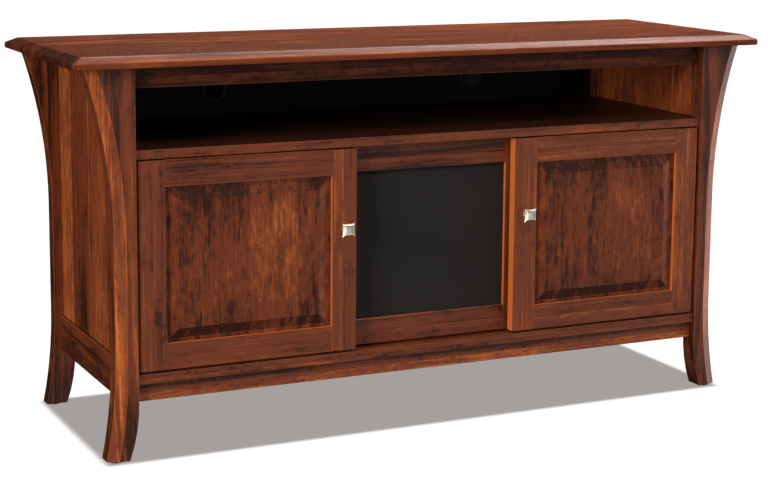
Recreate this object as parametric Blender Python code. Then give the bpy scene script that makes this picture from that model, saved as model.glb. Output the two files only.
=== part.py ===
"""Console television cabinet: a free-standing wooden media cabinet with three bypass sliding doors.

Metres, +Z up. X runs along the width, and the front faces -Y. The origin lies on the floor, under the
middle of the top. Depths are measured back from the front faces of the legs, with the function at_depth.
"""

import math

import bmesh
import bpy

# A gap between pieces that touch, and a running gap between pieces that slide.
GAP = 0.0003

# Top
TOP_WIDTH = 1.600
TOP_DEPTH = 0.536
HEIGHT = 0.821
TOP_UNDERSIDE = 0.798
TOP_EDGE_HEIGHT = 0.810
TOP_BEVEL = 0.0235
TOP_CORNER_CLIP = 0.006
FRONT_OVERHANG = 0.027
REAR_OVERHANG = 0.005

# Legs
LEG_INNER = 0.668
LEG_WIDTH = 0.045
LEG_DEPTH = 0.044
FACET_WIDTH = 0.023
FACET_DEPTH = 0.011
TOP_FLARE_START = 0.450
TOP_FLARE_RADIUS = 1.100
FOOT_FLARE_START = 0.210
FOOT_FLARE_RADIUS = 1.000
ANKLE_START = 0.120
ANKLE_RADIUS = 0.338
LEG_STEPS = 26
GLIDE_RADIUS = 0.0125
GLIDE_THICKNESS = 0.004
GLIDE_NAIL_RADIUS = 0.002
GLIDE_NAIL_LENGTH = 0.014

# Carcass: heights of the boards and their places behind the legs' front faces
BODY_DEPTH = TOP_DEPTH - FRONT_OVERHANG - REAR_OVERHANG
RAIL_THICKNESS = 0.019
RAIL_UNDERSIDE = 0.7545
RAIL_SETBACK = 0.0225
SHELF_BOTTOM = 0.6146
SHELF_TOP = 0.6328
SHELF_SETBACK = 0.007
SILL_BOTTOM = 0.157
SILL_TOP = 0.177
SILL_SETBACK = 0.008
SILL_DEPTH = 0.0565
APRON_BOTTOM = 0.120
APRON_SETBACK = 0.018
SIDE_PANEL_OUTER = 0.693
SIDE_PANEL_THICKNESS = 0.019
SIDE_APRON_OUTER = 0.6995
SIDE_APRON_THICKNESS = 0.025
SIDE_APRON_BOTTOM = 0.125
SIDE_APRON_TOP = 0.204
SIDE_TONGUE = 0.0065
SIDE_TONGUE_LENGTH = 0.008
BACK_DEPTH = 0.478
BACK_THICKNESS = 0.006
BACK_BOTTOM = 0.123
REAR_RAIL_DEPTH = 0.460
TENON_LENGTH = 0.011
TENON_THICKNESS = 0.008
TENON_SHOULDER = 0.006
DIVIDER_X = 0.213
DIVIDER_THICKNESS = 0.018
LOOSE_SHELF_BOTTOM = 0.395
LOOSE_SHELF_THICKNESS = 0.018
LOOSE_SHELF_CLEARANCE = 0.003
LOOSE_SHELF_SETBACK = 0.085
CABLE_PORT_RADIUS = 0.025
BAY_PORT_X = 0.330
BAY_PORT_Z = 0.690
LOWER_PORT_X = 0.440
LOWER_PORT_Z = 0.300

# Doors
DOOR_WIDTH = 0.473
DOOR_BOTTOM = 0.183
DOOR_TOP = 0.6108
DOOR_THICKNESS = 0.022
DOOR_CENTRE_X = 0.4255
FRONT_TRACK = 0.0065
REAR_TRACK = 0.036
STILE_WIDTH = 0.055
RAIL_WIDTH = 0.054
PANEL_GROOVE_DEPTH = 0.010
PANEL_GROOVE_WIDTH = 0.006
PANEL_EDGE_GAP = 0.001
PANEL_FLAT = 0.008
PANEL_SLOPE = 0.020
PANEL_STEP = 0.0015
PANEL_FIELD_SETBACK = 0.0015
GRILLE_BAR = 0.030
CLOTH_THICKNESS = 0.001

# Door hardware
TRACK_WIDTH = 0.005
TRACK_DEPTH = 0.007
RUNNING_GAP = 0.0004
DOOR_GLIDE_LENGTH = 0.030
DOOR_GLIDE_WIDTH = 0.010
DOOR_GLIDE_HEIGHT = 0.008
DOOR_GLIDE_INSET = 0.008
GUIDE_PIN_RADIUS = 0.0021
GUIDE_PIN_DEPTH = 0.012
GUIDE_PIN_RISE = 0.0085
GUIDE_PIN_INSET = 0.023
KNOB_HEIGHT = 0.444
KNOB_SECTIONS = [  # (stand-off from the door, half width)
    (GAP, 0.0100),
    (0.0030, 0.0100),
    (0.0075, 0.0083),
    (0.0120, 0.0086),
    (0.0165, 0.0108),
    (0.0200, 0.0138),
    (0.0235, 0.0145),
    (0.0250, 0.0125),
]
KNOB_SCREW_RADIUS = 0.0018
KNOB_SCREW_DEPTH = 0.013
KNOB_SCREW_HEAD_RADIUS = 0.004
KNOB_SCREW_HEAD_HEIGHT = 0.002

# Facets of round pieces, and the angles above which an edge stays a crease
PORT_SIDES = 24
GLIDE_SIDES = 20
SCREW_HEAD_SIDES = 16
ROD_SIDES = 12
ROD_CREASE = math.radians(40)
LEG_CREASE = math.radians(15)

X_AXIS, Y_AXIS, Z_AXIS = 0, 1, 2


def at_depth(depth):
    """The y of a plane this far behind the front faces of the legs."""
    return -TOP_DEPTH / 2 + FRONT_OVERHANG + depth


# ---------------------------------------------------------------- building blocks


def clear_scene():
    for obj in list(bpy.data.objects):
        bpy.data.objects.remove(obj, do_unlink=True)


def make_material(name, colour, roughness, metallic=0.0):
    material = bpy.data.materials.new(name)
    material.use_nodes = True
    shader = material.node_tree.nodes["Principled BSDF"]
    shader.inputs["Base Color"].default_value = (*colour, 1.0)
    shader.inputs["Roughness"].default_value = roughness
    shader.inputs["Metallic"].default_value = metallic
    return material


def make_object(name, bm, material=None):
    """Turns a bmesh into an object whose faces point out."""
    bmesh.ops.recalc_face_normals(bm, faces=bm.faces)
    mesh = bpy.data.meshes.new(name)
    bm.to_mesh(mesh)
    bm.free()
    obj = bpy.data.objects.new(name, mesh)
    bpy.context.scene.collection.objects.link(obj)
    if material:
        mesh.materials.append(material)
    return obj


def prism(name, outline, low, high, axis, material=None):
    """Extrudes a closed outline along an axis. Its points hold the other two coordinates, in order."""
    bm = bmesh.new()
    rings = []
    for level in (low, high):
        ring = []
        for point in outline:
            place = list(point)
            place.insert(axis, level)
            ring.append(bm.verts.new(place))
        rings.append(ring)
    bm.faces.new(rings[0])
    bm.faces.new(rings[1])
    join_rings(bm, rings)
    return make_object(name, bm, material)


def join_rings(bm, rings):
    """Walls between neighbouring rings of vertices."""
    for lower, upper in zip(rings, rings[1:]):
        for i, vertex in enumerate(lower):
            j = (i + 1) % len(lower)
            bm.faces.new((vertex, lower[j], upper[j], upper[i]))


def loft(name, rings_of_points, material=None):
    """A closed body through rings of points, capped at both ends."""
    bm = bmesh.new()
    rings = [[bm.verts.new(point) for point in ring] for ring in rings_of_points]
    bm.faces.new(rings[0])
    bm.faces.new(rings[-1])
    join_rings(bm, rings)
    return make_object(name, bm, material)


def board(name, low, high, material=None):
    """A rectangular board between two corners."""
    outline = [(low[0], low[1]), (high[0], low[1]), (high[0], high[1]), (low[0], high[1])]
    return prism(name, outline, low[2], high[2], Z_AXIS, material)


def rod(name, centre, radius, low, high, axis, material=None, sides=ROD_SIDES):
    """A round bar along an axis. The centre holds the other two coordinates."""
    outline = [
        (
            centre[0] + radius * math.cos(math.tau * step / sides),
            centre[1] + radius * math.sin(math.tau * step / sides),
        )
        for step in range(sides)
    ]
    obj = prism(name, outline, low, high, axis, material)
    obj.data.shade_smooth()
    obj.data.set_sharp_from_angle(angle=ROD_CREASE)
    return obj


def combine(obj, helper, operation):
    """Leaves a live Boolean on the object and hides its helper."""
    helper.hide_render = True
    helper.display_type = "WIRE"
    modifier = obj.modifiers.new(operation.title(), "BOOLEAN")
    modifier.operation = operation
    modifier.solver = "EXACT"
    modifier.object = helper
    helper.hide_viewport = True


def cut(obj, cutter):
    combine(obj, cutter, "DIFFERENCE")


def add(obj, extra):
    combine(obj, extra, "UNION")


def grown(box, by):
    low, high = box
    return [value - by for value in low], [value + by for value in high]


# ---------------------------------------------------------------- legs and their glides


def outer_flare(height):
    """How far the leg's outer face stands out of the straight at a height: an arc above, one below."""
    if height > TOP_FLARE_START:
        radius, rise = TOP_FLARE_RADIUS, height - TOP_FLARE_START
    elif height < FOOT_FLARE_START:
        radius, rise = FOOT_FLARE_RADIUS, FOOT_FLARE_START - height
    else:
        return 0.0
    return radius - math.sqrt(radius**2 - rise**2)


def inner_flare(height):
    """How far the leg's inner face steps out at the foot."""
    drop = max(0.0, ANKLE_START - height)
    return ANKLE_RADIUS - math.sqrt(ANKLE_RADIUS**2 - drop**2)


def leg_section(height, side, end):
    """The outline of a leg at a height. side is -1 or 1 in X; end is -1 at the front and 1 at the rear."""
    inner = LEG_INNER + inner_flare(height)
    outer = LEG_INNER + LEG_WIDTH + outer_flare(height)
    face = at_depth(0) if end < 0 else at_depth(BODY_DEPTH)
    back = face - end * LEG_DEPTH
    points = [
        (inner, face),
        (outer - FACET_WIDTH, face),
        (outer, face - end * FACET_DEPTH),
        (outer, back),
        (inner, back),
    ]
    return [(side * x, y, height) for x, y in points]


def foot_centre(side, end):
    """Where the glide sits under a leg."""
    xs, ys, _ = zip(*leg_section(GLIDE_THICKNESS, side, end))
    return (min(xs) + max(xs)) / 2, (min(ys) + max(ys)) / 2


def make_leg(name, side, end, material):
    bottom, top = GLIDE_THICKNESS + GAP, TOP_UNDERSIDE - GAP
    heights = [bottom + (top - bottom) * step / LEG_STEPS for step in range(LEG_STEPS + 1)]
    leg = loft(name, [leg_section(height, side, end) for height in heights], material)
    leg.data.shade_smooth()
    leg.data.set_sharp_from_angle(angle=LEG_CREASE)
    nail_hole = rod(
        f"cut_nail_{name}",
        foot_centre(side, end),
        GLIDE_NAIL_RADIUS + GAP,
        0.0,
        GLIDE_NAIL_LENGTH + 2 * GAP,
        Z_AXIS,
    )
    cut(leg, nail_hole)
    return leg


def make_foot_glide(name, side, end, material):
    centre = foot_centre(side, end)
    glide = rod(name, centre, GLIDE_RADIUS, 0.0, GLIDE_THICKNESS, Z_AXIS, material, GLIDE_SIDES)
    nail = rod(
        f"add_nail_{name}",
        centre,
        GLIDE_NAIL_RADIUS,
        GLIDE_THICKNESS / 2,
        GLIDE_NAIL_LENGTH,
        Z_AXIS,
    )
    add(glide, nail)
    return glide


# ---------------------------------------------------------------- rails with tenons


def make_rail(name, low, high, axis, tenon, legs, material):
    """A rail between two legs, with a tenon at each end and a mortise cut for it in each leg.

    tenon is the low and high of its section along the two axes across the rail.
    """
    rail = board(name, low, high, material)
    across = [a for a in (X_AXIS, Y_AXIS, Z_AXIS) if a != axis]
    for leg, end in zip(legs, (low[axis], high[axis])):
        corners = [0.0] * 3, [0.0] * 3
        corners[0][axis], corners[1][axis] = end - TENON_LENGTH, end + TENON_LENGTH
        for direction, (first, last) in zip(across, tenon):
            corners[0][direction], corners[1][direction] = first, last
        add(rail, board(f"add_tenon_{name}_{leg.name}", *corners))
        cut(leg, board(f"cut_mortise_{name}_{leg.name}", *grown(corners, GAP)))
    return rail


def centred(low, high, size):
    """A span of a given size in the middle of another."""
    middle = (low + high) / 2
    return middle - size / 2, middle + size / 2


def make_cross_rails(legs, material):
    """The rails that run along X between the legs."""
    reach = LEG_INNER - GAP
    top = TOP_UNDERSIDE - GAP
    front = (legs["front_left"], legs["front_right"])
    rear = (legs["rear_left"], legs["rear_right"])
    top_front, top_rear = at_depth(RAIL_SETBACK), at_depth(RAIL_SETBACK + RAIL_THICKNESS)
    make_rail(
        "front_top_rail",
        (-reach, top_front, RAIL_UNDERSIDE),
        (reach, top_rear, top),
        X_AXIS,
        (
            centred(top_front, top_rear, TENON_THICKNESS),
            (RAIL_UNDERSIDE + TENON_SHOULDER, top - TENON_SHOULDER),
        ),
        front,
        material,
    )
    apron_front, apron_rear = at_depth(APRON_SETBACK), at_depth(APRON_SETBACK + RAIL_THICKNESS)
    apron_top = SILL_BOTTOM - GAP
    make_rail(
        "front_apron",
        (-reach, apron_front, APRON_BOTTOM),
        (reach, apron_rear, apron_top),
        X_AXIS,
        (
            centred(apron_front, apron_rear, TENON_THICKNESS),
            (APRON_BOTTOM + TENON_SHOULDER, apron_top - TENON_SHOULDER),
        ),
        front,
        material,
    )
    rear_front, rear_back = at_depth(REAR_RAIL_DEPTH + GAP), at_depth(BACK_DEPTH - GAP)
    for name, low, high in (
        ("rear_top_rail", RAIL_UNDERSIDE, top),
        ("rear_apron", APRON_BOTTOM, SILL_TOP),
    ):
        make_rail(
            name,
            (-reach, rear_front, low),
            (reach, rear_back, high),
            X_AXIS,
            (
                centred(rear_front, rear_back, TENON_THICKNESS),
                (low + TENON_SHOULDER, high - TENON_SHOULDER),
            ),
            rear,
            material,
        )


def make_side(side_name, side, legs, frame_material, panel_material):
    """The lower rail of a side and the panel that stands in its groove."""
    front, back = at_depth(LEG_DEPTH + GAP), at_depth(BODY_DEPTH - LEG_DEPTH - GAP)
    outer, inner = side * SIDE_APRON_OUTER, side * (SIDE_APRON_OUTER - SIDE_APRON_THICKNESS)
    low_x, high_x = min(outer, inner), max(outer, inner)
    apron = make_rail(
        f"side_apron_{side_name}",
        (low_x, front, SIDE_APRON_BOTTOM),
        (high_x, back, SIDE_APRON_TOP),
        Y_AXIS,
        (
            centred(low_x, high_x, TENON_THICKNESS),
            (SIDE_APRON_BOTTOM + TENON_SHOULDER, SIDE_APRON_TOP - 2 * TENON_SHOULDER),
        ),
        (legs[f"front_{side_name}"], legs[f"rear_{side_name}"]),
        frame_material,
    )
    panel_outer = side * SIDE_PANEL_OUTER
    panel_inner = side * (SIDE_PANEL_OUTER - SIDE_PANEL_THICKNESS)
    tongue = centred(panel_outer, panel_inner, SIDE_TONGUE)
    panel_bottom = SIDE_APRON_TOP + GAP
    panel = board(
        f"side_panel_{side_name}",
        (min(panel_outer, panel_inner), front, panel_bottom),
        (max(panel_outer, panel_inner), back, TOP_UNDERSIDE - GAP),
        panel_material,
    )
    tongue_box = (
        (tongue[0], front + TENON_SHOULDER, SIDE_APRON_TOP - SIDE_TONGUE_LENGTH),
        (tongue[1], back - TENON_SHOULDER, panel_bottom + SIDE_TONGUE_LENGTH),
    )
    add(panel, board(f"add_tongue_{side_name}", *tongue_box))
    cut(apron, board(f"cut_tongue_{side_name}", *grown(tongue_box, GAP)))


# ---------------------------------------------------------------- boards of the carcass


def make_top(material):
    """The slab: upright edge with clipped corners, and a wide flat bevel up to the top surface."""
    half_width, half_depth, clip = TOP_WIDTH / 2, TOP_DEPTH / 2, TOP_CORNER_CLIP

    def outline(inset, corner, height):
        w, d = half_width - inset, half_depth - inset
        points = [
            (w - corner, -d),
            (w, -d + corner),
            (w, d - corner),
            (w - corner, d),
            (-w + corner, d),
            (-w, d - corner),
            (-w, -d + corner),
            (-w + corner, -d),
        ]
        return [(x, y, height) for x, y in points]

    return loft(
        "top_slab",
        [
            outline(0.0, clip, TOP_UNDERSIDE),
            outline(0.0, clip, TOP_EDGE_HEIGHT),
            outline(TOP_BEVEL, clip / 2, HEIGHT),
        ],
        material,
    )


def cut_tracks(obj, surface):
    """The two grooves along X for the doors, cut to the tracks' depth on both sides of a surface."""
    reach = LEG_INNER + TENON_LENGTH
    for name, door_depth in (("front", FRONT_TRACK), ("rear", REAR_TRACK)):
        centre = at_depth(door_depth + DOOR_THICKNESS / 2)
        groove = board(
            f"cut_{name}_track_{obj.name}",
            (-reach, centre - TRACK_WIDTH / 2, surface - TRACK_DEPTH),
            (reach, centre + TRACK_WIDTH / 2, surface + TRACK_DEPTH),
        )
        cut(obj, groove)


def make_bay_shelf(material):
    """The floor of the open bay, notched round the legs, with the doors' upper grooves under it."""
    wide = SIDE_PANEL_OUTER - SIDE_PANEL_THICKNESS - GAP
    narrow = LEG_INNER - GAP
    front, rear = at_depth(SHELF_SETBACK), at_depth(BACK_DEPTH - GAP)
    behind_front_leg = at_depth(LEG_DEPTH + GAP)
    before_rear_leg = at_depth(BODY_DEPTH - LEG_DEPTH - GAP)
    right = [
        (narrow, front),
        (narrow, behind_front_leg),
        (wide, behind_front_leg),
        (wide, before_rear_leg),
        (narrow, before_rear_leg),
        (narrow, rear),
    ]
    left = [(-x, y) for x, y in reversed(right)]
    shelf = prism("bay_shelf", right + left, SHELF_BOTTOM, SHELF_TOP, Z_AXIS, material)
    cut_tracks(shelf, SHELF_BOTTOM)


def make_door_sill(legs, material):
    """The board that the doors slide on, with a groove for each track."""
    reach = LEG_INNER - GAP
    front, rear = at_depth(SILL_SETBACK), at_depth(SILL_SETBACK + SILL_DEPTH)
    sill = make_rail(
        "door_sill",
        (-reach, front, SILL_BOTTOM),
        (reach, rear, SILL_TOP),
        X_AXIS,
        (
            (front + TENON_SHOULDER, at_depth(LEG_DEPTH - 2 * TENON_SHOULDER)),
            (SILL_BOTTOM + TENON_SHOULDER / 2, SILL_TOP - TRACK_DEPTH - TENON_SHOULDER / 2),
        ),
        (legs["front_left"], legs["front_right"]),
        material,
    )
    cut_tracks(sill, SILL_TOP)


def make_inside(material):
    """The floor, the two dividers and the three loose shelves of the lower compartments."""
    wall = SIDE_PANEL_OUTER - SIDE_PANEL_THICKNESS - GAP
    floor_front = at_depth(SILL_SETBACK + SILL_DEPTH + GAP)
    floor_rear = at_depth(REAR_RAIL_DEPTH - GAP)
    board(
        "bottom_panel",
        (-wall, floor_front, SILL_BOTTOM),
        (wall, floor_rear, SILL_TOP),
        material,
    )
    half = DIVIDER_THICKNESS / 2
    for name, x in (("left", -DIVIDER_X), ("right", DIVIDER_X)):
        board(
            f"divider_{name}",
            (x - half, floor_front, SILL_TOP + GAP),
            (x + half, at_depth(BACK_DEPTH - GAP), SHELF_BOTTOM - GAP),
            material,
        )
    edge = DIVIDER_X + half
    spans = {"left": (-wall, -edge), "centre": (-DIVIDER_X + half, DIVIDER_X - half), "right": (edge, wall)}
    for name, (low_x, high_x) in spans.items():
        board(
            f"loose_shelf_{name}",
            (low_x + LOOSE_SHELF_CLEARANCE, at_depth(LOOSE_SHELF_SETBACK), LOOSE_SHELF_BOTTOM),
            (
                high_x - LOOSE_SHELF_CLEARANCE,
                floor_rear - LOOSE_SHELF_CLEARANCE,
                LOOSE_SHELF_BOTTOM + LOOSE_SHELF_THICKNESS,
            ),
            material,
        )


def make_backs(material):
    """The two thin back panels, with round ports for cables."""
    reach = LEG_INNER - GAP
    split = (SHELF_BOTTOM + SHELF_TOP) / 2
    front, rear = at_depth(BACK_DEPTH), at_depth(BACK_DEPTH + BACK_THICKNESS)
    backs = (
        ("bay_back", split + GAP, TOP_UNDERSIDE - GAP, (-BAY_PORT_X, BAY_PORT_X), BAY_PORT_Z),
        ("lower_back", BACK_BOTTOM, split - GAP, (-LOWER_PORT_X, 0.0, LOWER_PORT_X), LOWER_PORT_Z),
    )
    for name, low, high, ports, port_height in backs:
        panel = board(name, (-reach, front, low), (reach, rear, high), material)
        for x in ports:
            cutter = rod(
                f"cut_port_{name}_{x:+.2f}",
                (x, port_height),
                CABLE_PORT_RADIUS,
                front - BACK_THICKNESS,
                rear + BACK_THICKNESS,
                Y_AXIS,
                sides=PORT_SIDES,
            )
            cut(panel, cutter)


# ---------------------------------------------------------------- doors


def make_frame(name, centre_x, front, material):
    """Two stiles and two rails, grooved along the opening, with stub tenons in the stiles' grooves."""
    left, right = centre_x - DOOR_WIDTH / 2, centre_x + DOOR_WIDTH / 2
    rear = front + DOOR_THICKNESS
    groove_front, groove_rear = centred(front, rear, PANEL_GROOVE_WIDTH)
    stiles = {}
    for which, edge, inward in (("left", left, 1), ("right", right, -1)):
        inner = edge + inward * STILE_WIDTH
        bed = inner - inward * PANEL_GROOVE_DEPTH
        outline = [
            (edge, front),
            (inner, front),
            (inner, groove_front),
            (bed, groove_front),
            (bed, groove_rear),
            (inner, groove_rear),
            (inner, rear),
            (edge, rear),
        ]
        stiles[which] = prism(f"{name}_stile_{which}", outline, DOOR_BOTTOM, DOOR_TOP, Z_AXIS, material)
    tenon_front, tenon_rear = groove_front + GAP, groove_rear - GAP
    for which, edge, inward in (("bottom", DOOR_BOTTOM, 1), ("top", DOOR_TOP, -1)):
        inner = edge + inward * RAIL_WIDTH
        bed = inner - inward * PANEL_GROOVE_DEPTH
        outline = [
            (front, edge),
            (front, inner),
            (groove_front, inner),
            (groove_front, bed),
            (groove_rear, bed),
            (groove_rear, inner),
            (rear, inner),
            (rear, edge),
        ]
        low_x, high_x = left + STILE_WIDTH + GAP, right - STILE_WIDTH - GAP
        rail = prism(f"{name}_rail_{which}", outline, low_x, high_x, X_AXIS, material)
        tenon_low, tenon_high = sorted((edge + inward * TENON_SHOULDER, bed - inward * GAP))
        reach = PANEL_GROOVE_DEPTH - GAP
        tenon = board(
            f"add_stub_{name}_{which}",
            (low_x - reach, tenon_front, tenon_low),
            (high_x + reach, tenon_rear, tenon_high),
        )
        add(rail, tenon)
    return stiles


def opening_of(centre_x):
    """The low and high corner, in X and Z, of the opening in a door's frame."""
    reach = DOOR_WIDTH / 2 - STILE_WIDTH
    return (centre_x - reach, DOOR_BOTTOM + RAIL_WIDTH), (centre_x + reach, DOOR_TOP - RAIL_WIDTH)


def rectangle(opening, grow, y):
    """The corners of an opening's rectangle, made larger on every side, at a given y."""
    (x0, z0), (x1, z1) = opening
    x0, z0, x1, z1 = x0 - grow, z0 - grow, x1 + grow, z1 + grow
    return [(x0, y, z0), (x1, y, z0), (x1, y, z1), (x0, y, z1)]


def make_raised_panel(name, centre_x, front, material):
    """A solid panel: a thin edge in the frame's groove, a flat, a slope and a raised field."""
    opening = opening_of(centre_x)
    groove_front, groove_rear = centred(front, front + DOOR_THICKNESS, PANEL_GROOVE_WIDTH)
    edge_front, edge_rear = groove_front + GAP, groove_rear - GAP
    field = front + PANEL_FIELD_SETBACK
    in_groove = PANEL_GROOVE_DEPTH - PANEL_EDGE_GAP
    slope_end = PANEL_FLAT + PANEL_SLOPE
    return loft(
        name,
        [
            rectangle(opening, in_groove, edge_rear),
            rectangle(opening, in_groove, edge_front),
            rectangle(opening, -PANEL_FLAT, edge_front),
            rectangle(opening, -slope_end, field + PANEL_STEP),
            rectangle(opening, -slope_end, field),
        ],
        material,
    )


def make_grille(centre_x, front, board_material, cloth_material):
    """A thin board ring in the frame's groove, with a cloth stretched over its front."""
    opening = opening_of(centre_x)
    groove_front, groove_rear = centred(front, front + DOOR_THICKNESS, PANEL_GROOVE_WIDTH)
    in_groove = PANEL_GROOVE_DEPTH - PANEL_EDGE_GAP
    cloth_front, cloth_rear = groove_front + GAP, groove_front + GAP + CLOTH_THICKNESS
    loft(
        "door_centre_cloth",
        [rectangle(opening, in_groove, cloth_rear), rectangle(opening, in_groove, cloth_front)],
        cloth_material,
    )
    ring_front, ring_rear = cloth_rear + GAP, groove_rear - GAP
    ring = loft(
        "door_centre_grille_ring",
        [rectangle(opening, in_groove, ring_rear), rectangle(opening, in_groove, ring_front)],
        board_material,
    )
    window_edge = in_groove - GRILLE_BAR
    cutter_ends = (ring_rear + GRILLE_BAR, ring_front - GRILLE_BAR)
    window = loft("cut_grille_window", [rectangle(opening, window_edge, y) for y in cutter_ends])
    cut(ring, window)


def make_runners(name, centre_x, front, stiles, material):
    """A nylon glide under each stile, riding in the sill's groove, and a guide pin on top of each."""
    middle = front + DOOR_THICKNESS / 2
    groove_floor = SILL_TOP - TRACK_DEPTH + GAP
    for which, edge, inward in (
        ("left", centre_x - DOOR_WIDTH / 2, 1),
        ("right", centre_x + DOOR_WIDTH / 2, -1),
    ):
        stile = stiles[which]
        start = edge + inward * DOOR_GLIDE_INSET
        low_x, high_x = sorted((start, start + inward * DOOR_GLIDE_LENGTH))
        half = DOOR_GLIDE_WIDTH / 2
        block = (
            (low_x, middle - half, DOOR_BOTTOM),
            (high_x, middle + half, DOOR_BOTTOM + DOOR_GLIDE_HEIGHT),
        )
        glide = board(f"{name}_glide_{which}", *block, material)
        fin_half = TRACK_WIDTH / 2 - RUNNING_GAP
        fin = board(
            f"add_fin_{name}_{which}",
            (low_x, middle - fin_half, groove_floor),
            (high_x, middle + fin_half, DOOR_BOTTOM + DOOR_GLIDE_HEIGHT / 2),
        )
        add(glide, fin)
        low, high = grown(block, GAP)
        low[2] -= DOOR_GLIDE_HEIGHT
        cut(stile, board(f"cut_glide_{name}_{which}", low, high))

        pin_x = edge + inward * GUIDE_PIN_INSET
        bottom, top = DOOR_TOP - GUIDE_PIN_DEPTH, DOOR_TOP + GUIDE_PIN_RISE
        place = (pin_x, middle)
        rod(f"{name}_guide_pin_{which}", place, GUIDE_PIN_RADIUS, bottom, top, Z_AXIS, material)
        hole_radius = GUIDE_PIN_RADIUS + GAP
        cut(stile, rod(f"cut_pin_{name}_{which}", place, hole_radius, bottom - GAP, top, Z_AXIS))


def make_knob(name, x, front, stile, knob_material, screw_material):
    """A square waisted knob and the screw that holds it from behind the door."""

    def square(standoff, half):
        y = front - standoff
        return [
            (x - half, y, KNOB_HEIGHT - half),
            (x + half, y, KNOB_HEIGHT - half),
            (x + half, y, KNOB_HEIGHT + half),
            (x - half, y, KNOB_HEIGHT + half),
        ]

    knob = loft(f"{name}_knob", [square(*section) for section in KNOB_SECTIONS], knob_material)
    centre = (x, KNOB_HEIGHT)
    rear = front + DOOR_THICKNESS
    tip = front - KNOB_SCREW_DEPTH
    screw = rod(
        f"{name}_knob_screw",
        centre,
        KNOB_SCREW_RADIUS,
        tip,
        rear + KNOB_SCREW_HEAD_HEIGHT / 2,
        Y_AXIS,
        screw_material,
    )
    head = rod(
        f"add_head_{name}",
        centre,
        KNOB_SCREW_HEAD_RADIUS,
        rear + GAP,
        rear + GAP + KNOB_SCREW_HEAD_HEIGHT,
        Y_AXIS,
        sides=SCREW_HEAD_SIDES,
    )
    add(screw, head)
    clearance = KNOB_SCREW_RADIUS + GAP
    cut(knob, rod(f"cut_thread_{name}", centre, clearance, tip - GAP, front, Y_AXIS))
    cut(stile, rod(f"cut_screw_{name}", centre, clearance, front - GAP, rear + GAP, Y_AXIS))


def make_wooden_door(name, side, materials):
    """A front-track door: frame, raised panel, runners, and a knob on the stile nearer the middle."""
    centre_x, front = side * DOOR_CENTRE_X, at_depth(FRONT_TRACK)
    stiles = make_frame(name, centre_x, front, materials["wood"])
    make_raised_panel(f"{name}_panel", centre_x, front, materials["panel"])
    make_runners(name, centre_x, front, stiles, materials["nylon"])
    knob_x = side * (DOOR_CENTRE_X - DOOR_WIDTH / 2 + STILE_WIDTH / 2)
    stile = stiles["right" if side < 0 else "left"]
    make_knob(name, knob_x, front, stile, materials["nickel"], materials["steel"])


def make_cloth_door(materials):
    """The rear-track door: the same frame round a speaker cloth."""
    name, front = "door_centre", at_depth(REAR_TRACK)
    stiles = make_frame(name, 0.0, front, materials["wood"])
    make_grille(0.0, front, materials["hardboard"], materials["cloth"])
    make_runners(name, 0.0, front, stiles, materials["nylon"])


def main():
    clear_scene()
    materials = {
        "top": make_material("stained_cherry_top", (0.190, 0.062, 0.028), 0.35),
        "wood": make_material("stained_cherry", (0.170, 0.055, 0.026), 0.40),
        "panel": make_material("stained_cherry_panel", (0.165, 0.050, 0.022), 0.42),
        "inside": make_material("stained_plywood", (0.090, 0.030, 0.015), 0.55),
        "back": make_material("back_board", (0.030, 0.014, 0.009), 0.70),
        "cloth": make_material("speaker_cloth", (0.012, 0.012, 0.011), 0.95),
        "hardboard": make_material("grille_board", (0.020, 0.018, 0.016), 0.85),
        "nickel": make_material("satin_nickel", (0.640, 0.600, 0.540), 0.32, 1.0),
        "steel": make_material("zinc_steel", (0.560, 0.570, 0.580), 0.38, 1.0),
        "nylon": make_material("nylon", (0.022, 0.020, 0.019), 0.50),
        "glide": make_material("foot_glide", (0.025, 0.022, 0.020), 0.60),
    }
    legs = {}
    for end_name, end in (("front", -1), ("rear", 1)):
        for side_name, side in (("left", -1), ("right", 1)):
            key = f"{end_name}_{side_name}"
            legs[key] = make_leg(f"leg_{key}", side, end, materials["wood"])
            make_foot_glide(f"foot_glide_{key}", side, end, materials["glide"])
    make_top(materials["top"])
    make_cross_rails(legs, materials["wood"])
    make_door_sill(legs, materials["wood"])
    make_bay_shelf(materials["wood"])
    for side_name, side in (("left", -1), ("right", 1)):
        make_side(side_name, side, legs, materials["wood"], materials["panel"])
    make_inside(materials["inside"])
    make_backs(materials["back"])
    make_wooden_door("door_left", -1, materials)
    make_wooden_door("door_right", 1, materials)
    make_cloth_door(materials)


main()
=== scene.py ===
"""The looks of a wooden console cabinet with an open bay and three sliding doors.

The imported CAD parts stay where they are. This script eases their edges, gives them
procedural wood, metal, plastic and cloth, adds the small trim, and sets up the studio.
"""

import math
import random

import bmesh
import bpy
from mathutils import Matrix, Vector


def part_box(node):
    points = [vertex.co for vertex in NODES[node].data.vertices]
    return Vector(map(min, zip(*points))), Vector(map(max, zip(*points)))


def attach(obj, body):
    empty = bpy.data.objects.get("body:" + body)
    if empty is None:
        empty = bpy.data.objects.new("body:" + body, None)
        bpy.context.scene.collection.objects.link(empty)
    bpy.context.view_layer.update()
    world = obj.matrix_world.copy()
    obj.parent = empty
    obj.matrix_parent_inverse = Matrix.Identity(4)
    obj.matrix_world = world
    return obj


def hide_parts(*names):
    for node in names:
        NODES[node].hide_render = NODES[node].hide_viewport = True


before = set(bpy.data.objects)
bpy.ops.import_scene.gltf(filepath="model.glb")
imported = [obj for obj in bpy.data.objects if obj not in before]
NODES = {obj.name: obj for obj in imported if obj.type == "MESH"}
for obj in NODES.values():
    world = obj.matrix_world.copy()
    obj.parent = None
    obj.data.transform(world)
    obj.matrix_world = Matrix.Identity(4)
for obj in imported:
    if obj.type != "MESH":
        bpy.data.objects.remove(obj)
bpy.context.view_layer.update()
X, Y, Z = range(3)

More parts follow.
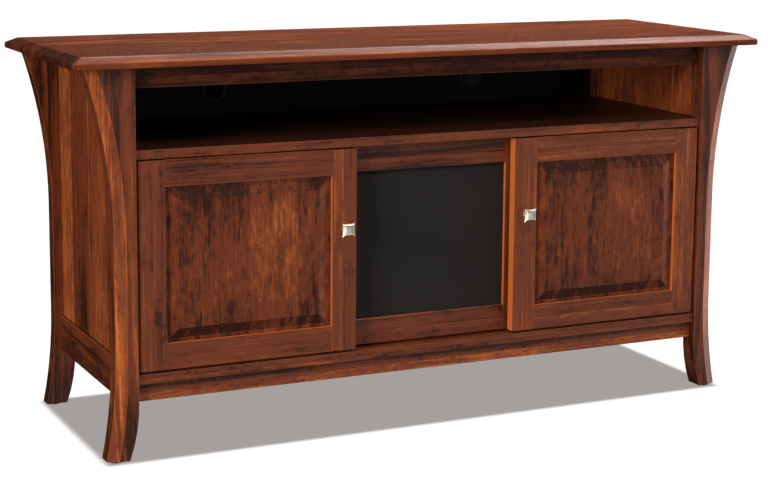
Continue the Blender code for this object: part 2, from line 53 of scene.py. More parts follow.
# Camera, in metres and radians
CAMERA_PLACE = (-1.760, -3.666, 1.165)
CAMERA_YAW = 0.4444
CAMERA_PITCH = 0.1590
CAMERA_ROLL = 0.0078
CAMERA_LENS_MM = 86.1
CAMERA_SENSOR_MM = 36.0
CAMERA_SHIFT_Y = -0.09

# The studio as the surfaces see it: a dim room, and pale cards. Each card is the way to its
# middle, the cosines of the angle from there where it starts and is full, and its brightness.
ROOM_LIGHT = 0.012
CARDS = [
    ((0.0, 0.0, 1.0), 0.45, 0.95, 0.30),
    ((0.30, 0.55, 0.80), 0.80, 0.97, 0.70),
    ((0.45, -0.88, -0.16), 0.80, 0.97, 0.60),
    ((1.00, -0.04, -0.12), 0.72, 0.95, 2.50),
]

# Edges: the angles that count as flat, as an edge and as a crease, and each kind of piece's rounding
FLAT_ANGLE = math.radians(0.2)
EDGE_ANGLE = math.radians(10)
SMOOTH_ANGLE = math.radians(50)
MERGE_DISTANCE = 0.00001
EASED = {
    "top_slab": 0.0030,
    "leg": 0.0016,
    "stile": 0.0009,
    "rail_top": 0.0005,
    "rail_bottom": 0.0005,
    "shelf": 0.0010,
    "sill": 0.0010,
    "apron": 0.0010,
    "panel": 0.0006,
    "divider": 0.0008,
    "front_top_rail": 0.0008,
}
EASED_OTHERWISE = 0.0004


# ---------------------------------------------------------------- node graphs
class Graph:
    """Adds nodes to a tree and joins them, so that a material reads like a formula."""

    def __init__(self, tree):
        self.tree = tree
        self.tree.nodes.clear()

    def add(self, kind, inputs=None, **settings):
        """A node with these settings, and its inputs joined to sockets or set to values."""
        node = self.tree.nodes.new(kind)
        for name, value in settings.items():
            setattr(node, name, value)
        for key, value in (inputs or {}).items():
            if isinstance(value, bpy.types.NodeSocket):
                self.tree.links.new(value, node.inputs[key])
            else:
                node.inputs[key].default_value = value
        return node

    def math(self, operation, a, b=0.0):
        return self.add("ShaderNodeMath", {0: a, 1: b}, operation=operation).outputs[0]

    def sum(self, first, *rest):
        for term in rest:
            first = self.math("ADD", first, term)
        return first

    def times(self, a, b):
        return self.math("MULTIPLY", a, b)

    def swing(self, value, weight):
        """How far a value from 0 to 1 lies from its middle, times weight."""
        return self.times(self.math("SUBTRACT", value, 0.5), weight)

    def vector(self, operation, a, b):
        """The outputs of vector maths: 0 is a vector, 1 a number."""
        return self.add("ShaderNodeVectorMath", {0: a, 1: b}, operation=operation).outputs

    def split(self, vector):
        return self.add("ShaderNodeSeparateXYZ", {0: vector}).outputs

    def join(self, x, y, z):
        return self.add("ShaderNodeCombineXYZ", {0: x, 1: y, 2: z}).outputs[0]

    def noise(self, vector, scale, detail, roughness, distortion=0.0):
        inputs = {
            "Vector": vector,
            "Scale": scale,
            "Detail": detail,
            "Roughness": roughness,
            "Distortion": distortion,
        }
        return self.add("ShaderNodeTexNoise", inputs).outputs[0]

    def noise_along(self, value, scale, detail, roughness):
        """Noise of one number: bands that follow wherever that number is the same."""
        inputs = {"W": value, "Scale": scale, "Detail": detail, "Roughness": roughness}
        return self.add("ShaderNodeTexNoise", inputs, noise_dimensions="1D").outputs[0]

    def between(self, value, low, high, start=0.0, end=1.0):
        """start below low, end above high, and a smooth step between them."""
        inputs = {0: value, 1: low, 2: high, 3: start, 4: end}
        return self.add("ShaderNodeMapRange", inputs, interpolation_type="SMOOTHSTEP").outputs[0]

    def mix(self, share, a, b):
        """Colour a, with this share of colour b."""
        return self.add("ShaderNodeMix", {0: share, 6: a, 7: b}, data_type="RGBA").outputs[2]

    def bump(self, height, distance, strength):
        inputs = {"Height": height, "Distance": distance, "Strength": strength}
        return self.add("ShaderNodeBump", inputs).outputs[0]


def rgb(red, green, blue):
    """A colour given as the eye reads it, 0 to 255, in linear light."""

    def linear(value):
        share = value / 255
        return share / 12.92 if share <= 0.04045 else ((share + 0.055) / 1.055) ** 2.4

    return (linear(red), linear(green), linear(blue), 1.0)


def darkened(colour, share):
    """The colour with this share of its light left."""
    return tuple(share * part for part in colour[:3]) + (1.0,)


def new_material(name):
    material = bpy.data.materials.new(name)
    material.use_nodes = True
    return material, Graph(material.node_tree)


def finish_material(g, colour, roughness, normal, **sockets):
    """The shader itself. Numbers that don't vary are set straight on its sockets."""
    inputs = {"Base Color": colour, "Roughness": roughness, "Normal": normal}
    inputs.update({name.replace("_", " "): value for name, value in sockets.items()})
    shader = g.add("ShaderNodeBsdfPrincipled", inputs)
    g.add("ShaderNodeOutputMaterial", {0: shader.outputs[0]})


# ---------------------------------------------------------------- wood
# The numbers and colours that a piece gives the wood
FIGURE_SOCKETS = ("Board", "Boards", "Figure", "Dash", "Streak", "Blotch", "Mottle")
TONE_SOCKETS = ("Dark", "Middle", "Light")

# The tree: how far apart in it two boards and two pieces are cut, and where its heart lies,
# in metres from the board's middle
BOARD_STEP = 37.0
PIECE_STEP = 11.0
HEART_SIDE = 0.07
HEART_DEPTH = (0.012, 0.05)
HEART_LEAN = 0.26
HEART_WANDER = 0.055

SEAM_STEP = (0.494, 0.4995)  # from the board's middle, in boards

# Growth: repeats per metre of radius, detail and roughness
BANDS = (48.0, 4.0, 0.62)
RINGS = (330.0, 2.0, 0.5)

# Noises that are stretched along the grain: repeats per metre along it and across it, detail,
# roughness, distortion. The _STEP pairs are where such a noise starts and is full. Cords are
# bundles of fibres. Blotches gather where the clouds are thin: 1.35 times there, 0.45 elsewhere.
FIBRES = (9.0, 620.0, 3.0, 0.65)
CORDS = (5.0, 170.0, 3.0, 0.6)
DASHES = (26.0, 330.0, 2.0, 0.55)
DASH_STEP = (0.54, 0.66)
STREAKS = (3.4, 34.0, 5.0, 0.62, 0.6)
STREAK_STEP = (0.50, 0.74)
BLOTCHES = (26.0, 46.0, 7.0, 0.70, 0.3)
BLOTCH_STEP = (0.46, 0.70)
BLOTCHES_IN_CLOUDS = (0.34, 0.62, 1.35, 0.45)
CLOUDS = (5.5, 12.0, 3.0, 0.55)
MOTTLE = (26.0, 42.0, 5.0, 0.66, 0.6)
PORES = (190.0, 1900.0, 1.0, 0.5)
PORE_STEP = (0.60, 0.72)

# How much each adds to the tone, and the least tone that is left
RING_TONE = 0.16
FIBRE_TONE = 0.40
CORD_TONE = 0.42
CLOUD_TONE = 0.55
PORE_TONE = -0.08
END_TONE = -0.34
SEAM_TONE = -0.10
LEAST_TONE = 0.11


def make_wood_group():
    """Sawn and stained boards: growth rings cut at a slant, fibres, stain streaks and pores.

    Place is in metres, with X along the grain, Y across the face and Z into the board.
    """
    tree = bpy.data.node_groups.new("stained_wood", "ShaderNodeTree")
    g = Graph(tree)
    interface = tree.interface
    interface.new_socket("Place", in_out="INPUT", socket_type="NodeSocketVector")
    for name in FIGURE_SOCKETS + ("Seed", "Tone", "End"):
        interface.new_socket(name, in_out="INPUT", socket_type="NodeSocketFloat")
    for name in TONE_SOCKETS:
        interface.new_socket(name, in_out="INPUT", socket_type="NodeSocketColor")
    interface.new_socket("Colour", in_out="OUTPUT", socket_type="NodeSocketColor")
    interface.new_socket("Roughness", in_out="OUTPUT", socket_type="NodeSocketFloat")
    interface.new_socket("Height", in_out="OUTPUT", socket_type="NodeSocketFloat")
    given = g.add("NodeGroupInput").outputs
    along, across, depth = g.split(given["Place"])

    # Boards glued edge to edge, each from another place in another tree
    row = g.math("DIVIDE", across, given["Board"])
    index = g.math("FLOOR", row)
    in_row = g.math("SUBTRACT", g.math("SUBTRACT", row, index), 0.5)
    local = g.times(in_row, given["Board"])
    luck = g.add("ShaderNodeTexWhiteNoise", {"Vector": g.join(index, given["Seed"], 0.5)})
    red, green, blue = g.add("ShaderNodeSeparateColor", {0: luck.outputs["Color"]}).outputs
    shift = g.sum(g.times(red, BOARD_STEP), g.times(given["Seed"], PIECE_STEP))
    along_here = g.math("ADD", along, shift)

    # Distance from the tree's heart, which leans and wanders
    calm = g.join(g.times(along_here, 1.3), g.times(local, 5.0), g.times(depth, 5.0))
    wander = g.swing(g.noise(calm, scale=1.0, detail=3.0, roughness=0.55), HEART_WANDER)
    lean = g.swing(blue, HEART_LEAN)
    least_depth, more_depth = HEART_DEPTH
    heart_depth = g.sum(g.times(red, more_depth), least_depth, g.times(along, lean))
    side = g.sum(local, g.swing(green, HEART_SIDE), wander)
    down = g.sum(depth, heart_depth, wander)
    radius = g.math("SQRT", g.sum(g.times(side, side), g.times(down, down)))
    ring_place = g.math("ADD", radius, shift)
    bands = g.noise_along(ring_place, *BANDS)
    rings = g.noise_along(ring_place, *RINGS)

    # Fibres, dashes, stain and pores, each stretched along the grain by its own amount
    def grain_noise(per_metre_along, per_metre_across, detail, roughness, distortion=0.0):
        place = g.join(
            g.times(along_here, per_metre_along),
            g.times(across, per_metre_across),
            g.times(depth, per_metre_across),
        )
        return g.noise(place, 1.0, detail, roughness, distortion)

    fibres = grain_noise(*FIBRES)
    cords = grain_noise(*CORDS)
    dashes = g.between(grain_noise(*DASHES), *DASH_STEP)
    streaks = g.between(grain_noise(*STREAKS), *STREAK_STEP)
    blotches = g.between(grain_noise(*BLOTCHES), *BLOTCH_STEP)
    clouds = grain_noise(*CLOUDS)
    mottle = grain_noise(*MOTTLE)
    pores = g.between(grain_noise(*PORES), *PORE_STEP)
    thick = g.between(clouds, *BLOTCHES_IN_CLOUDS)

    figure = g.times(given["Figure"], g.math("SUBTRACT", 1.0, g.times(given["End"], 0.6)))
    seam = g.between(g.math("ABSOLUTE", in_row), *SEAM_STEP)
    tone = g.sum(
        given["Tone"],
        g.swing(bands, figure),
        g.swing(rings, RING_TONE),
        g.swing(fibres, FIBRE_TONE),
        g.swing(cords, CORD_TONE),
        g.swing(clouds, CLOUD_TONE),
        g.swing(mottle, given["Mottle"]),
        g.swing(green, given["Boards"]),
        g.times(g.times(dashes, given["Dash"]), -1.0),
        g.times(g.times(streaks, given["Streak"]), -1.0),
        g.times(g.times(g.times(blotches, thick), given["Blotch"]), -1.0),
        g.times(pores, PORE_TONE),
        g.times(given["End"], END_TONE),
        g.times(seam, SEAM_TONE),
    )
    tone = g.math("MAXIMUM", tone, LEAST_TONE)
    low = g.mix(g.between(tone, 0.0, 0.5), given["Dark"], given["Middle"])
    colour = g.mix(g.between(tone, 0.5, 1.0), low, given["Light"])
    roughness = g.sum(0.36, g.times(pores, 0.12), g.times(fibres, 0.10), g.times(given["End"], 0.08))
    height = g.sum(g.times(fibres, 0.6), g.times(pores, -0.8), g.times(rings, 0.25))
    g.add("NodeGroupOutput", {"Colour": colour, "Roughness": roughness, "Height": height})
    return tree


# Wood finishes. Lengths are in metres, and a tone is 0 where dark, 0.5 at middle and 1 where light.
#   dark, middle, light: the stain's three colours
#   board, boards: the width of a glued board, and how much boards differ in tone
#   figure, dash, streak, blotch, mottle: the strength of the growth bands, of the small dark
#       flecks, and of the stain's long streaks, its spots and its soft patches
#   tone: what the wood starts from
#   end: where end grain starts and is full, as the share of the face's normal along the grain
#   side_, up_, down_, facet_tone: added on narrow sides, on faces that look up or down, on facets;
#       painted light and painted shade, lighter or darker by which way a face looks
#   far_, top_, rim_, border_tone: added far from the middle along the grain, along the top edge
#       as a painted shadow under a ledge, at the outline as painted shade in the recess, and
#       inside the outline, where it fades towards the middle
#   shine, rough, bump: the gloss's strength, what is added to its roughness, the relief's strength
CHERRY = dict(
    dark=rgb(38, 18, 11),
    middle=rgb(121, 58, 33),
    light=rgb(190, 103, 51),
    mottle=0.25,
)
FINISHES = {
    "cherry_top": dict(
        CHERRY,
        board=0.128,
        boards=0.24,
        figure=0.95,
        dash=0.06,
        streak=0.16,
        blotch=0.05,
        tone=0.57,
        end=(0.12, 0.45),
        # Darker front and rear edges: painted shade
        side_tone=-0.18,
        shine=0.07,
        rough=-0.16,
    ),
    "cherry_frame": dict(
        CHERRY,
        # A brighter light tone, so that the lit door edges can reach it: painted light
        light=rgb(216, 114, 52),
        board=0.300,
        boards=0.14,
        figure=0.62,
        dash=0.12,
        streak=0.10,
        blotch=0.26,
        tone=0.55,
        end=(0.40, 0.85),
        # Lighter narrow sides: painted light on the door edges that face the key light
        side_tone=0.60,
    ),
    "cherry_panel": dict(
        CHERRY,
        board=0.105,
        boards=0.28,
        figure=0.50,
        dash=0.22,
        streak=0.32,
        blotch=0.26,
        mottle=1.15,
        tone=0.585,
        end=(0.08, 0.26),
        # Faces that look down are darker: painted shade
        down_tone=-0.04,
        # The panel's outline is darker: painted shade in the recess under the frame
        rim_tone=-0.20,
        border_tone=-0.18,
        shine=0.15,
    ),
    "stained_inside": dict(
        CHERRY,
        board=0.140,
        boards=0.10,
        figure=0.50,
        dash=0.10,
        streak=0.15,
        blotch=0.10,
        tone=0.34,
        end=(0.40, 0.85),
    ),
}
# The rounded edges of frames and legs: lighter where the stain is rubbed thin, and as a painted
# highlight along the edge
ARRIS = dict(
    CHERRY,
    board=0.3,
    boards=0.0,
    figure=0.5,
    dash=0.0,
    streak=0.1,
    blotch=0.0,
    tone=0.76,
    end=(0.4, 0.85),
)
# What the pieces with these words in their names change in their finish; a tone is added to it
PIECE_LOOKS = {
    "leg": dict(
        tone=-0.07,
        figure=1.10,
        dash=0.14,
        blotch=0.24,
        streak=0.24,
        side_tone=-0.04,
        # Lighter facets: a painted highlight where the facets catch the light
        facet_tone=0.28,
        far_tone=-0.14,
    ),
    # Its facet is lighter too: a painted highlight
    "leg_front_right": dict(streak=0.14, blotch=0.14, facet_tone=0.30, far_tone=-0.16),
    # The front top rail is darker: its darker stain, and painted shade under the top's overhang
    "front_top_rail": dict(tone=-0.34, figure=0.45, blotch=0.30, shine=0.10),
    # The bay shelf's top is darker: painted shade inside the bay
    "bay_shelf": dict(tone=-0.12, up_tone=-0.38, side_tone=0.10),
    "door_sill": dict(tone=-0.03, blotch=0.42, dash=0.18, streak=0.24, mottle=0.7, side_tone=0.0),
    # The front apron's top band is darkened: a painted shadow under the sill
    "front_apron": dict(tone=0.09, blotch=0.42, dash=0.18, streak=0.20, mottle=0.7, top_tone=-0.34),
    "side_apron": dict(tone=-0.18, side_tone=0.0),
    "side_panel": dict(
        tone=0.045,
        board=0.120,
        boards=0.40,
        dash=0.24,
        blotch=0.22,
        mottle=0.45,
        down_tone=0.0,
        rim_tone=0.0,
        border_tone=0.0,
    ),
    # The right side panel is darker: painted shade for the bay's right wall, which it forms
    "side_panel_right": dict(tone=-0.12),
    "door_centre_": dict(tone=-0.06),
    "door_right_": dict(tone=0.04),
    "door_right_panel": dict(tone=-0.04),
    "rail_top": dict(tone=-0.12, figure=1.1, streak=0.20, mottle=0.5),
    "door_right_rail_top": dict(tone=0.06),
}
# Pieces whose rounded edges get the lighter arris: rubbed stain and painted highlight
LIGHT_ARRIS = ("leg", "stile", "shelf", "sill", "apron", "rail")
WOOD = make_wood_group()
WOOD_RELIEF = 0.00012

# Where each added tone starts and is full: shares of the normal, then metres
FACES_THAT_WAY = (0.75, 0.95)
FACES_DOWN = (-0.20, -0.05)
FACET_SHARE = (0.10, 0.30)
FAR = (0.18, 0.36)
# The band of painted shadow along a top edge
TOP_EDGE_SHADOW = (0.020, 0.003)
# The band of painted shade at the outline
RIM_SHADE = (0.016, 0.019)
BORDER_START = (0.036, 0.038)
BORDER_FADE = (0.040, 0.110)


def wood_material(name, axes, centre, half, seed, look):
    """Stained wood. Its grain runs along the first of axes, its face is across the second."""
    material, g = new_material(name)
    here = g.add("ShaderNodeTexCoord").outputs
    place = g.split(g.vector("SUBTRACT", here["Object"], centre)[0])
    normal = g.split(here["Normal"])
    end = g.between(g.math("ABSOLUTE", normal[axes[0]]), *look["end"])
    across = g.math("ABSOLUTE", normal[axes[1]])
    facet = g.times(across, g.math("ABSOLUTE", normal[axes[2]]))
    along = g.math("ABSOLUTE", place[axes[0]])
    from_edge = g.math(
        "MINIMUM",
        *(g.math("SUBTRACT", half[axis], g.math("ABSOLUTE", place[axis])) for axis in axes[:2]),
    )
    top_shadow_band = (half[Z] - inset for inset in TOP_EDGE_SHADOW)
    side, up, down, far, facets, top, rim, border = (
        look.get(f"{where}_tone", 0.0)
        for where in ("side", "up", "down", "far", "facet", "top", "rim", "border")
    )
    inputs = {
        "Place": g.join(*(place[axis] for axis in axes)),
        "Seed": seed,
        "End": end,
        "Tone": g.sum(
            look["tone"],
            # Painted light and painted shade: tones by which way the face looks
            g.between(across, *FACES_THAT_WAY, 0.0, side),
            g.between(normal[Z], *FACES_THAT_WAY, 0.0, up),
            g.between(normal[Z], *FACES_DOWN, down, 0.0),
            g.between(along, *FAR, 0.0, far),
            g.between(facet, *FACET_SHARE, 0.0, facets),
            # Painted shadow along the top edge, as under a ledge
            g.between(place[Z], *top_shadow_band, 0.0, top),
            # Painted shade in the recess at the outline, where the frame meets the panel
            g.between(from_edge, *RIM_SHADE, rim, 0.0),
            g.times(
                g.between(from_edge, *BORDER_START),
                g.between(from_edge, *BORDER_FADE, border, 0.0),
            ),
        ),
    }
    for socket in FIGURE_SOCKETS + TONE_SOCKETS:
        inputs[socket] = look[socket.lower()]
    wood = g.add("ShaderNodeGroup", inputs, node_tree=WOOD).outputs
    finish_material(
        g,
        wood["Colour"],
        g.math("ADD", wood["Roughness"], look.get("rough", 0.0)),
        g.bump(wood["Height"], WOOD_RELIEF, look.get("bump", 0.6)),
        Specular_IOR_Level=look.get("shine", 0.24),
    )
    return material


def look_of(name, slot):
    """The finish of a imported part, with what the part changes in it."""
    look = dict(FINISHES[slot])
    for key, changes in PIECE_LOOKS.items():
        if key in name:
            tone = look["tone"] + changes.get("tone", 0.0)
            look.update(changes, tone=tone)
    return look


# ---------------------------------------------------------------- other materials
# Repeats per metre of a brushed metal's scratches, and the width of one thread of the cloth
BRUSHED_ALONG = 300.0
BRUSHED_ACROSS = 5200.0
THREAD_PITCH = 0.0011


def metal_material(name, colour, roughness, brush_axis):
    """Plated metal with a fine brushed finish."""
    material, g = new_material(name)
    place = g.add("ShaderNodeTexCoord").outputs["Object"]
    stretched = (
        g.times(part, BRUSHED_ALONG if axis == brush_axis else BRUSHED_ACROSS)
        for axis, part in enumerate(g.split(place))
    )
    brushed = g.noise(g.join(*stretched), scale=1.0, detail=3.0, roughness=0.6)
    cloudy = g.noise(place, scale=90.0, detail=3.0, roughness=0.6)
    shade = g.sum(g.times(brushed, 0.35), g.times(cloudy, 0.25), -0.05)
    tint = g.mix(g.between(shade, 0.1, 0.45), darkened(colour, 0.80), colour)
    rough = g.math("ADD", g.times(brushed, 0.16), roughness)
    bump = g.bump(brushed, distance=0.00003, strength=0.5)
    finish_material(g, tint, rough, bump, Metallic=1.0)
    return material


def plastic_material(name, colour, roughness):
    """Moulded plastic: a fine leathery grain, slightly cloudy."""
    material, g = new_material(name)
    place = g.add("ShaderNodeTexCoord").outputs["Object"]
    grain = g.noise(place, scale=2600.0, detail=2.0, roughness=0.6)
    cloud = g.noise(place, scale=55.0, detail=3.0, roughness=0.6)
    shade = g.sum(g.times(grain, 0.5), g.times(cloud, 0.5))
    tint = g.mix(g.between(shade, 0.35, 0.65), darkened(colour, 0.75), colour)
    rough = g.math("ADD", g.times(grain, 0.14), roughness)
    bump = g.bump(grain, distance=0.00004, strength=0.5)
    finish_material(g, tint, rough, bump, Specular_IOR_Level=0.4)
    return material


def board_material(name, colour, lighter, rear=None, rear_lighter=None):
    """Hardboard or painted board: felted short fibres in every direction.

    The side that faces the rear may have tones of its own.
    """
    material, g = new_material(name)
    here = g.add("ShaderNodeTexCoord").outputs
    place = here["Object"]
    felt = g.noise(place, scale=420.0, detail=4.0, roughness=0.7, distortion=1.2)
    clouds = g.noise(place, scale=9.0, detail=4.0, roughness=0.6)
    flecks = g.between(g.noise(place, scale=900.0, detail=1.0, roughness=0.5), 0.64, 0.74)
    felted = g.sum(g.times(felt, 0.55), g.times(clouds, 0.45), g.times(flecks, 0.25))
    share = g.between(felted, 0.35, 0.80)
    tint = g.mix(share, colour, lighter)
    if rear:
        rear_tint = g.mix(share, rear, rear_lighter)
        tint = g.mix(g.between(g.split(here["Normal"])[Y], 0.3, 0.6), tint, rear_tint)
    rough = g.math("ADD", g.times(felt, 0.2), 0.55)
    bump = g.bump(felt, distance=0.0001, strength=0.5)
    finish_material(g, tint, rough, bump, Specular_IOR_Level=0.25)
    return material


def cloth_material(name):
    """Acoustic cloth: an open plain weave of black and charcoal threads."""
    material, g = new_material(name)
    place = g.add("ShaderNodeTexCoord").outputs["Object"]
    x, _, z = g.split(place)
    warp = g.times(x, math.pi / THREAD_PITCH)
    weft = g.times(z, math.pi / THREAD_PITCH)
    warp_round = g.math("ABSOLUTE", g.math("SINE", warp))
    weft_round = g.math("ABSOLUTE", g.math("SINE", weft))
    over = g.times(g.math("COSINE", warp), g.math("COSINE", weft))
    on_top = g.between(over, -0.15, 0.15)
    height = g.mix(on_top, weft_round, warp_round)
    along_weft = g.join(g.times(x, 240.0), 0.0, g.times(z, 16.0))
    slubs = g.noise(along_weft, scale=1.0, detail=3.0, roughness=0.6)
    clouds = g.noise(place, scale=7.0, detail=3.0, roughness=0.6)
    shade = g.sum(g.times(height, 0.55), g.times(slubs, 0.30), g.times(clouds, 0.35))
    tint = g.mix(g.between(shade, 0.3, 1.05), rgb(15, 14, 14), rgb(43, 40, 38))
    finish_material(
        g,
        tint,
        g.math("ADD", g.times(slubs, 0.1), 0.82),
        g.bump(height, distance=0.0002, strength=0.8),
        Specular_IOR_Level=0.2,
        Sheen_Weight=0.12,
        Sheen_Roughness=0.5,
    )
    return material


# The floor: how far it reaches, its tones, and how far past the feet its painted shadow goes
FLOOR_REACH = 40.0
FLOOR_WHITE = (1.1, 1.1, 1.1, 1.0)
FLOOR_SHADE = rgb(165, 160, 157)
SHADE_PAST_FEET = 0.026
SHADE_SOFTNESS = 0.013


def floor_material(name):
    """White studio sweep, with a soft grey shadow painted between the cabinet's feet."""
    material, g = new_material(name)
    x, y, _ = g.split(g.add("ShaderNodeTexCoord").outputs["Object"])
    near, far = (
        sum(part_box(f"foot_glide_{corner}"), Vector()) / 2 for corner in ("front_left", "rear_right")
    )
    middle, half = (near + far) / 2, (far - near) / 2
    shade = 1.0
    for axis, place in ((X, x), (Y, y)):
        off = g.math("ABSOLUTE", g.math("SUBTRACT", place, middle[axis]))
        reach = half[axis] + SHADE_PAST_FEET
        inside = g.between(off, reach - SHADE_SOFTNESS, reach + SHADE_SOFTNESS, 1.0, 0.0)
        shade = g.times(shade, inside)
    # The grey is a painted shadow: the floor only glows and no lamp lights it
    tint = g.mix(shade, FLOOR_WHITE, FLOOR_SHADE)
    light = g.add("ShaderNodeEmission", {"Color": tint, "Strength": 1.0})
    g.add("ShaderNodeOutputMaterial", {0: light.outputs[0]})
    return material


NICKEL = metal_material("nickel", rgb(244, 234, 216), 0.34, X)
ZINC = metal_material("zinc", rgb(190, 192, 196), 0.30, Y)
NYLON = plastic_material("nylon", rgb(34, 31, 29), 0.42)
BLACK_PLASTIC = plastic_material("black_plastic", rgb(30, 28, 27), 0.45)
# Its front side, which looks into the bay, is near black: the board's dark stain deepened as painted
# shade. The rear side keeps the board's lighter tones.
DARK_BACK = board_material(
    "dark_hardboard", rgb(11, 7, 5), rgb(28, 18, 14), rgb(38, 25, 18), rgb(74, 50, 37)
)
GRILLE_BOARD = board_material("grille_hardboard", rgb(12, 11, 10), rgb(30, 28, 26))
BRISTLES = plastic_material("bristles", rgb(16, 15, 15), 0.6)
CLOTH = cloth_material("acoustic_cloth")
PLAIN_SLOTS = {
    "dark_back": DARK_BACK,
    "grille_board": GRILLE_BOARD,
    "speaker_cloth": CLOTH,
    "satin_nickel": NICKEL,
    "zinc_screw": ZINC,
    "black_nylon": NYLON,
    "black_glide": BLACK_PLASTIC,
}


# ---------------------------------------------------------------- CAD nodes: edges and wood
def geometry_tree(name):
    tree = bpy.data.node_groups.new(name, "GeometryNodeTree")
    tree.interface.new_socket("Mesh", in_out="INPUT", socket_type="NodeSocketGeometry")
    tree.interface.new_socket("Mesh", in_out="OUTPUT", socket_type="NodeSocketGeometry")
    g = Graph(tree)
    return tree, g, g.add("NodeGroupInput").outputs[0]


def make_closing_tree():
    """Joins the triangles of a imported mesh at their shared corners, and drops its stored normals."""
    tree, g, mesh = geometry_tree("close_mesh")
    joined = g.add("GeometryNodeMergeByDistance", {"Geometry": mesh, "Distance": MERGE_DISTANCE})
    plain = g.add("GeometryNodeSetMeshNormal", {"Mesh": joined.outputs[0], "Remove Custom": True})
    g.add("NodeGroupOutput", {0: plain.outputs[0]})
    return tree


def make_shading_tree():
    """Smooth shading, with a crease wherever two faces meet at more than SMOOTH_ANGLE."""
    tree, g, mesh = geometry_tree("shade_by_angle")
    smooth = g.add(
        "GeometryNodeSetShadeSmooth", {"Geometry": mesh, "Shade Smooth": True}, domain="FACE"
    )
    angle = g.add("GeometryNodeInputMeshEdgeAngle").outputs[0]
    soft = g.add("FunctionNodeCompare", {0: angle, 1: SMOOTH_ANGLE}, operation="LESS_THAN")
    creased = g.add(
        "GeometryNodeSetShadeSmooth",
        {"Geometry": smooth.outputs[0], "Shade Smooth": soft.outputs[0]},
        domain="EDGE",
    )
    g.add("NodeGroupOutput", {0: creased.outputs[0]})
    return tree


CLOSING = make_closing_tree()
SHADING = make_shading_tree()


def grain_of(name):
    """The axes that the grain, the face's width and the board's depth run along."""
    if name.startswith("leg") or "stile" in name or name in ("door_left_panel", "door_right_panel"):
        return (Z, X, Y)
    if name.startswith(("side_panel", "divider")):
        return (Z, Y, X)
    if name.startswith("side_apron"):
        return (Y, Z, X)
    if "rail" in name or name in ("front_apron", "rear_apron", "door_sill"):
        return (X, Z, Y)
    return (X, Y, Z)


def ease_edges(node, name):
    """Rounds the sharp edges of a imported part, as sanding does."""
    node.modifiers.new("close", "NODES").node_group = CLOSING
    flatten = node.modifiers.new("flatten", "DECIMATE")
    flatten.decimate_type = "DISSOLVE"
    flatten.angle_limit = FLAT_ANGLE
    rounding = node.modifiers.new("round", "BEVEL")
    rounding.width = next((EASED[key] for key in EASED if key in name), EASED_OTHERWISE)
    rounding.segments = 2
    rounding.limit_method = "ANGLE"
    rounding.angle_limit = EDGE_ANGLE
    rounding.use_clamp_overlap = True
    rounding.material = 1
    node.modifiers.new("shade", "NODES").node_group = SHADING
    weighted = node.modifiers.new("weighted", "WEIGHTED_NORMAL")
    weighted.keep_sharp = True


ARRIS_SEED = 3.7
SEED_STEP = 0.61
ARRIS_MATERIALS = [
    wood_material(f"cherry_arris_{'xyz'[axes[0]]}", axes, (0, 0, 0), (1, 1, 1), ARRIS_SEED, ARRIS)
    for axes in ((X, Y, Z), (Y, Z, X), (Z, X, Y))
]
for number, (name, node) in enumerate(sorted(NODES.items())):
    slot = node.data.materials[0].name
    if slot in FINISHES:
        low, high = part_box(name)
        axes = grain_of(name)
        centre, half = (low + high) / 2, (high - low) / 2
        seed, look = SEED_STEP * number, look_of(name, slot)
        faces = wood_material(f"{slot}_{name}", axes, centre, half, seed, look)
        lighter = any(key in name for key in LIGHT_ARRIS)
        edges = ARRIS_MATERIALS[axes[0]] if lighter else faces
    else:
        faces = edges = PLAIN_SLOTS[slot]
    node.data.materials.clear()
    node.data.materials.append(faces)
    node.data.materials.append(edges)
    ease_edges(node, name)


# ---------------------------------------------------------------- new pieces
def mesh_piece(name, bm, material, body, smooth=True):
    """A mesh in the row frame that rides on a body."""
    mesh = bpy.data.meshes.new(name)
    bmesh.ops.recalc_face_normals(bm, faces=bm.faces)
    bm.to_mesh(mesh)
    bm.free()
    if smooth:
        mesh.shade_smooth()
        mesh.set_sharp_from_angle(angle=SMOOTH_ANGLE)
    mesh.materials.append(material)
    piece = bpy.data.objects.new(name, mesh)
    bpy.context.scene.collection.objects.link(piece)
    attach(piece, body)
    return piece


def stitch(bm, rings, caps=True):
    """Faces between rings of points, and caps on the first and the last."""
    loops = [[bm.verts.new(point) for point in ring] for ring in rings]
    for near, far in zip(loops, loops[1:]):
        for i, corner in enumerate(near):
            bm.faces.new((near[i - 1], corner, far[i], far[i - 1]))
    if caps:
        bm.faces.new(loops[0])
        bm.faces.new(loops[-1])


# Knobs: a pinched square head on a waisted neck. Each section is its stand-off from the
# door, its half width, and how far its sides pull in between the corners.
KNOB_SECTIONS = [
    (0.0000, 0.0056, 0.0000),
    (0.0010, 0.0056, 0.0000),
    (0.0022, 0.0046, 0.0002),
    (0.0070, 0.0040, 0.0003),
    (0.0130, 0.0042, 0.0003),
    (0.0170, 0.0062, 0.0006),
    (0.0190, 0.0118, 0.0011),
    (0.0200, 0.0140, 0.0014),
    (0.0208, 0.0146, 0.0015),
    (0.0216, 0.0146, 0.0015),
    (0.0223, 0.0142, 0.0014),
    (0.0245, 0.0112, 0.0010),
    (0.0248, 0.0106, 0.0009),
    (0.0245, 0.0099, 0.0008),
    (0.0236, 0.0070, 0.0004),
    (0.0233, 0.0030, 0.0001),
]
KNOB_SIDE_STEPS = 12


def knob_ring(centre, stand_off, half, pinch):
    """The points of one section: four sides that bow inwards between the corners."""
    ring = []
    for quarter in range(4):
        turn = Matrix.Rotation(quarter * math.pi / 2, 3, "Y")
        for step in range(KNOB_SIDE_STEPS):
            t = -1 + 2 * step / KNOB_SIDE_STEPS
            point = Vector((half * t, 0, half - pinch * (1 - t * t)))
            ring.append(centre + Vector((0, -stand_off, 0)) + turn @ point)
    return ring


